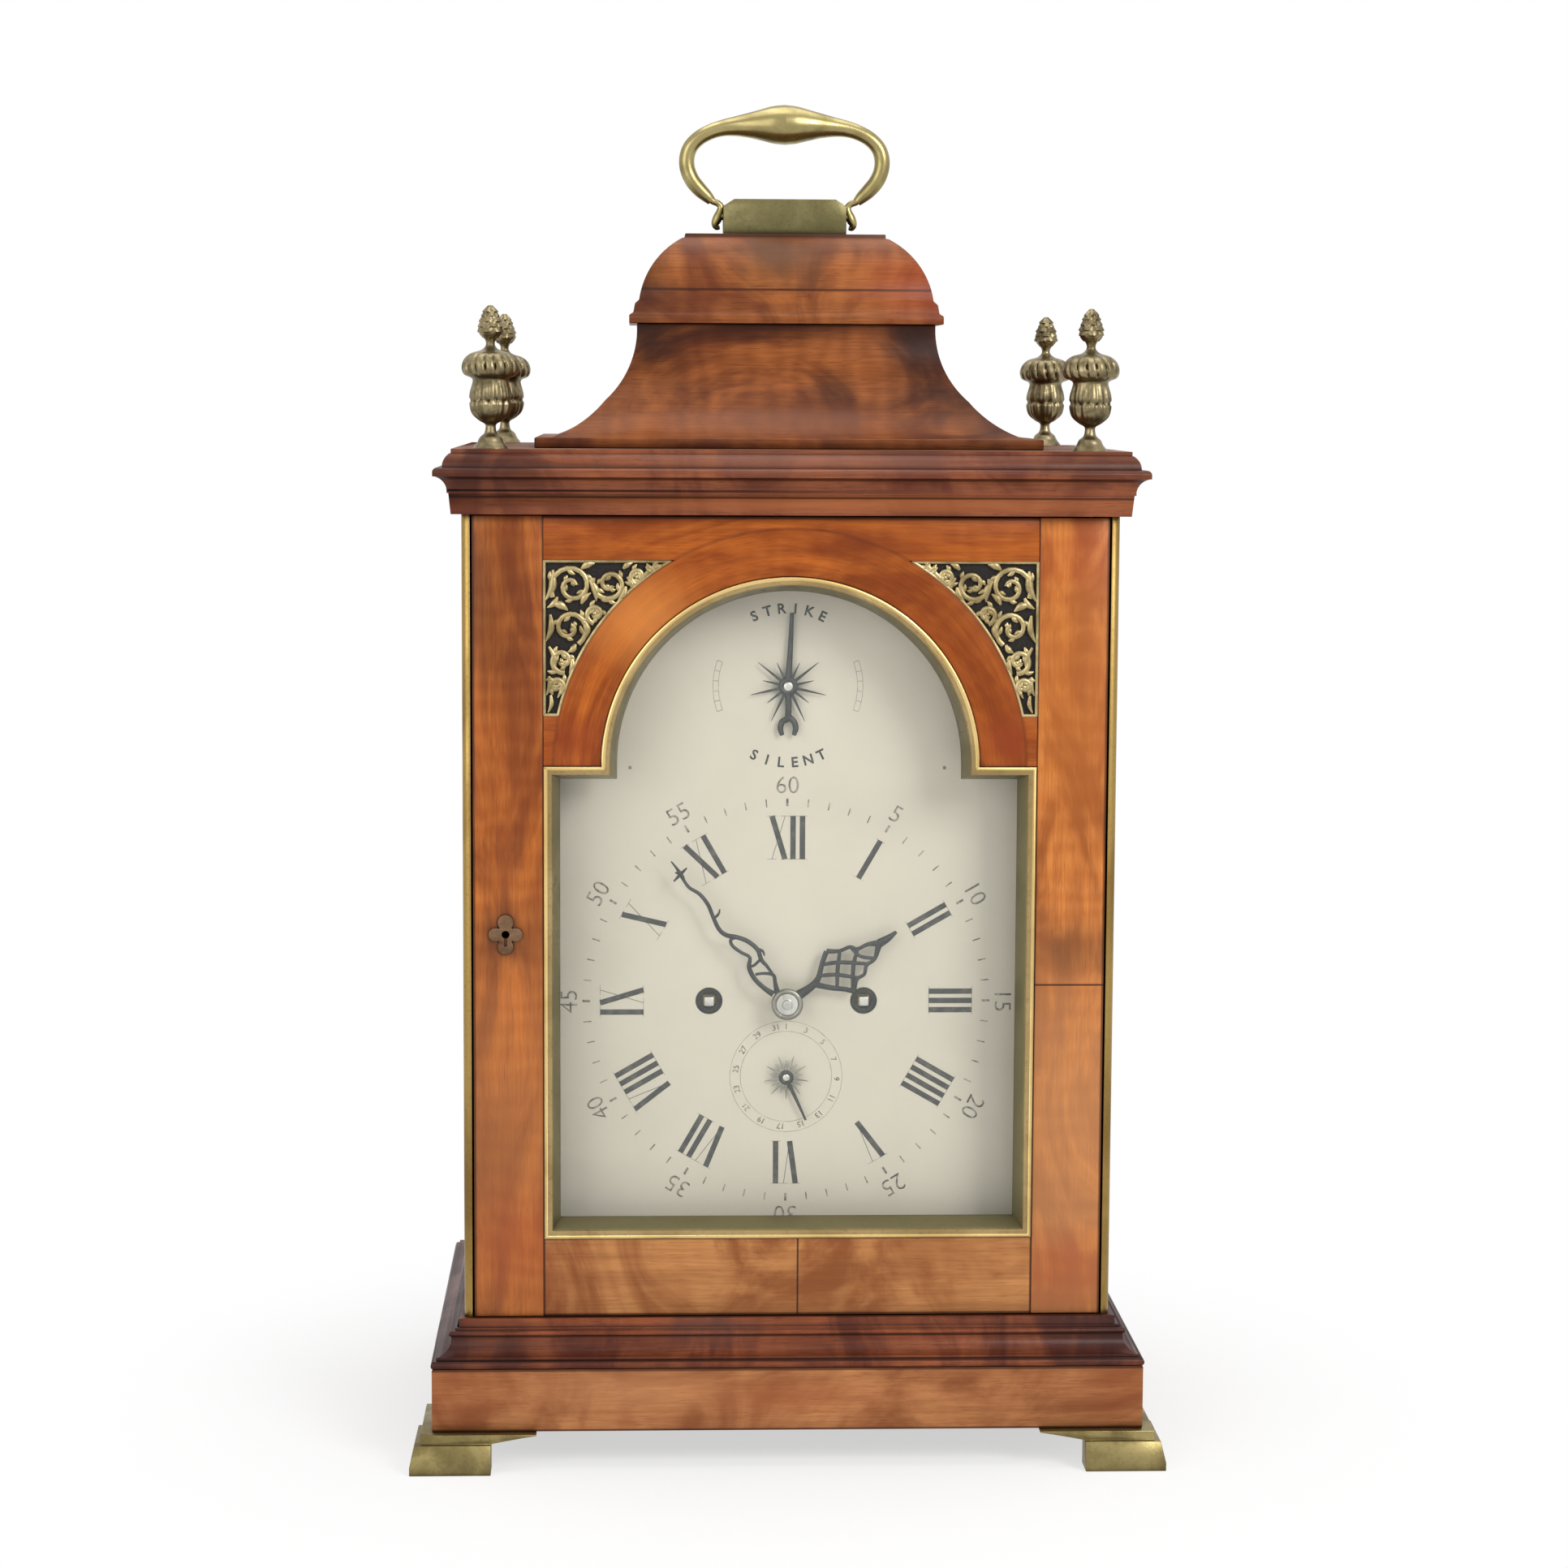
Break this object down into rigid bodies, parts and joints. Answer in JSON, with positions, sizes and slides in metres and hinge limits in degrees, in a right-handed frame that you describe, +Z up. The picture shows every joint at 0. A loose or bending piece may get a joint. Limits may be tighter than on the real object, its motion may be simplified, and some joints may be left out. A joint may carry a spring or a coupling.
{
  "type": "bracket clock",
  "caption": "Bell-top bracket clock in figured mahogany with brass mounts, arched silvered dial, glazed front and back doors, carrying handle and a fusee movement that strikes on a bell.",
  "frame": {"origin": "on the surface that the feet stand on, under the middle of the case", "axes": "+X to the right as the dial is faced, +Y from the dial to the back, +Z up"},
  "size_m": [0.285, 0.21, 0.5156],
  "materials": {
    "figured_mahogany": "french polished figured veneer",
    "moulding_mahogany": "polished, dark in the hollows",
    "carcass_wood": "oiled plain wood",
    "antique_brass": "cast and chased, dulled with age",
    "movement_brass": "grained and lacquered",
    "dark_brass": "tarnished",
    "blued_steel": "filed and blued dark",
    "silvered_dial": "matt silvered, with black wax figures",
    "window_glass": "thin clear",
    "sound_cloth": "dark woven silk"
  },
  "bodies": {
    "case": {"bracket_feet": "antique_brass", "plinth_boards": "figured_mahogany", "base_moulding": "moulding_mahogany", "bottom_board": "carcass_wood", "side_panels": "figured_mahogany", "corner_strips": "antique_brass", "cornice_moulding": "moulding_mahogany", "top_board": "carcass_wood", "bell_top_body": "figured_mahogany", "bell_top_cap": "figured_mahogany", "handle_plate": "antique_brass", "finials": "antique_brass", "back_case_hinges": "movement_brass", "dial_surround": "carcass_wood", "dial_plate": "silvered_dial", "front_plate": "movement_brass", "back_plate": "movement_brass", "plate_pillars": "movement_brass", "seat_board": "carcass_wood", "back_cock": "movement_brass", "bell_stand": "movement_brass", "strike_bell": "dark_brass"},
    "front_door": {"door_stile_left": "figured_mahogany", "door_stile_right": "figured_mahogany", "door_bottom_rail": "figured_mahogany", "door_arch_rail": "figured_mahogany", "sight_ring": "antique_brass", "door_glass": "window_glass", "spandrel_frets": "antique_brass", "fret_backings": "sound_cloth", "keyhole_plate": "dark_brass", "door_lock": "dark_brass", "door_pivots": "movement_brass"},
    "lock_bolt": {"lock_bolt": "blued_steel"},
    "back_door": {"back_door_frame": "carcass_wood", "back_door_glass": "window_glass", "back_door_hinges": "movement_brass"},
    "handle": {"carrying_handle": "antique_brass"},
    "centre_arbor": {"centre_wheel": "movement_brass", "cannon_wheel": "movement_brass", "minute_hand": "blued_steel", "hand_collet": "blued_steel"},
    "minute_wheel": {"minute_wheel": "movement_brass"},
    "hour_wheel": {"hour_wheel": "movement_brass", "hour_hand": "blued_steel"},
    "going_great_wheel": {"going_great_wheel": "movement_brass"},
    "going_fusee": {"going_fusee": "movement_brass"},
    "going_barrel": {"going_barrel": "movement_brass"},
    "third_wheel": {"third_wheel": "movement_brass"},
    "escape_wheel": {"escape_wheel": "movement_brass"},
    "pallets": {"pallets": "blued_steel"},
    "pendulum": {"pendulum": "movement_brass"},
    "strike_great_wheel": {"strike_great_wheel": "movement_brass"},
    "strike_fusee": {"strike_fusee": "movement_brass"},
    "strike_barrel": {"strike_barrel": "movement_brass"},
    "pin_wheel": {"pin_wheel": "movement_brass"},
    "fly": {"fly": "movement_brass"},
    "hammer": {"hammer": "movement_brass"},
    "date_hand": {"date_hand": "blued_steel"},
    "strike_silent_hand": {"strike_silent_hand": "blued_steel"}
  },
  "joints": [
    {"name": "front_door_swing", "type": "hinge", "parent": "case", "child": "front_door", "pos_m": [0.1116, -0.0826, 0.0555], "axis": [0, 0, 1], "range_deg": [0, 110]},
    {"name": "lock_bolt_throw", "type": "slide", "parent": "front_door", "child": "lock_bolt", "axis": [-1, 0, 0], "range_m": [0, 0.0045]},
    {"name": "back_door_swing", "type": "hinge", "parent": "case", "child": "back_door", "pos_m": [-0.1122, 0.087, 0.0555], "axis": [0, 0, 1], "range_deg": [0, 110]},
    {"name": "handle_fold", "type": "hinge", "parent": "case", "child": "handle", "pos_m": [0, 0, 0.4726], "axis": [1, 0, 0], "range_deg": [-100, 100]},
    {"name": "hands_turn", "type": "hinge", "parent": "case", "child": "centre_arbor", "pos_m": [0, 0, 0.172], "axis": [0, 1, 0], "continuous": true},
    {"name": "minute_wheel_turn", "type": "hinge", "parent": "case", "child": "minute_wheel", "pos_m": [-0.009, 0, 0.18759], "axis": [0, 1, 0], "continuous": true},
    {"name": "hour_wheel_turn", "type": "hinge", "parent": "case", "child": "hour_wheel", "pos_m": [0, 0, 0.172], "axis": [0, 1, 0], "continuous": true},
    {"name": "going_great_turn", "type": "hinge", "parent": "case", "child": "going_great_wheel", "pos_m": [0.0297, 0, 0.172], "axis": [0, 1, 0], "continuous": true},
    {"name": "third_wheel_turn", "type": "hinge", "parent": "case", "child": "third_wheel", "pos_m": [-0.00778, 0, 0.19338], "axis": [0, 1, 0], "continuous": true},
    {"name": "escape_wheel_turn", "type": "hinge", "parent": "case", "child": "escape_wheel", "pos_m": [0, 0, 0.21115], "axis": [0, 1, 0], "continuous": true},
    {"name": "going_winding", "type": "hinge", "parent": "going_great_wheel", "child": "going_fusee", "pos_m": [0.0297, 0, 0.172], "axis": [0, 1, 0], "continuous": true},
    {"name": "going_barrel_turn", "type": "hinge", "parent": "case", "child": "going_barrel", "pos_m": [0.036, 0, 0.118], "axis": [0, 1, 0], "continuous": true},
    {"name": "pendulum_swing", "type": "hinge", "parent": "case", "child": "pendulum", "pos_m": [0, 0.028, 0.23236], "axis": [0, 1, 0], "range_deg": [-5, 5]},
    {"name": "pallets_rock", "type": "hinge", "parent": "case", "child": "pallets", "pos_m": [0, 0, 0.23236], "axis": [0, 1, 0], "range_deg": [-5, 5]},
    {"name": "strike_great_turn", "type": "hinge", "parent": "case", "child": "strike_great_wheel", "pos_m": [-0.0297, 0, 0.172], "axis": [0, 1, 0], "continuous": true},
    {"name": "pin_wheel_turn", "type": "hinge", "parent": "case", "child": "pin_wheel", "pos_m": [-0.04493, 0, 0.1922], "axis": [0, 1, 0], "continuous": true},
    {"name": "fly_turn", "type": "hinge", "parent": "case", "child": "fly", "pos_m": [-0.05826, 0, 0.1999], "axis": [0, 1, 0], "continuous": true},
    {"name": "strike_winding", "type": "hinge", "parent": "strike_great_wheel", "child": "strike_fusee", "pos_m": [-0.0297, 0, 0.172], "axis": [0, 1, 0], "continuous": true},
    {"name": "strike_barrel_turn", "type": "hinge", "parent": "case", "child": "strike_barrel", "pos_m": [-0.036, 0, 0.118], "axis": [0, 1, 0], "continuous": true},
    {"name": "hammer_lift", "type": "hinge", "parent": "case", "child": "hammer", "pos_m": [-0.05, 0, 0.24], "axis": [0, 1, 0], "range_deg": [-12, 0]},
    {"name": "date_hand_turn", "type": "hinge", "parent": "case", "child": "date_hand", "pos_m": [0, 0, 0.1425], "axis": [0, 1, 0], "continuous": true},
    {"name": "strike_silent_turn", "type": "hinge", "parent": "case", "child": "strike_silent_hand", "pos_m": [0, 0, 0.2932], "axis": [0, 1, 0], "range_deg": [0, 180]}
  ],
  "couplings": [
    {"joint": "minute_wheel_turn", "follows": "hands_turn", "ratio": -1},
    {"joint": "hour_wheel_turn", "follows": "hands_turn", "ratio": 0.083333},
    {"joint": "going_great_turn", "follows": "hands_turn", "ratio": -0.083333},
    {"joint": "third_wheel_turn", "follows": "hands_turn", "ratio": -12},
    {"joint": "escape_wheel_turn", "follows": "hands_turn", "ratio": 154.29},
    {"joint": "going_barrel_turn", "follows": "going_winding", "ratio": 0.65},
    {"joint": "pallets_rock", "follows": "pendulum_swing", "ratio": 1},
    {"joint": "pin_wheel_turn", "follows": "strike_great_turn", "ratio": -10.5},
    {"joint": "fly_turn", "follows": "strike_great_turn", "ratio": 105},
    {"joint": "strike_barrel_turn", "follows": "strike_winding", "ratio": 0.65}
  ]
}
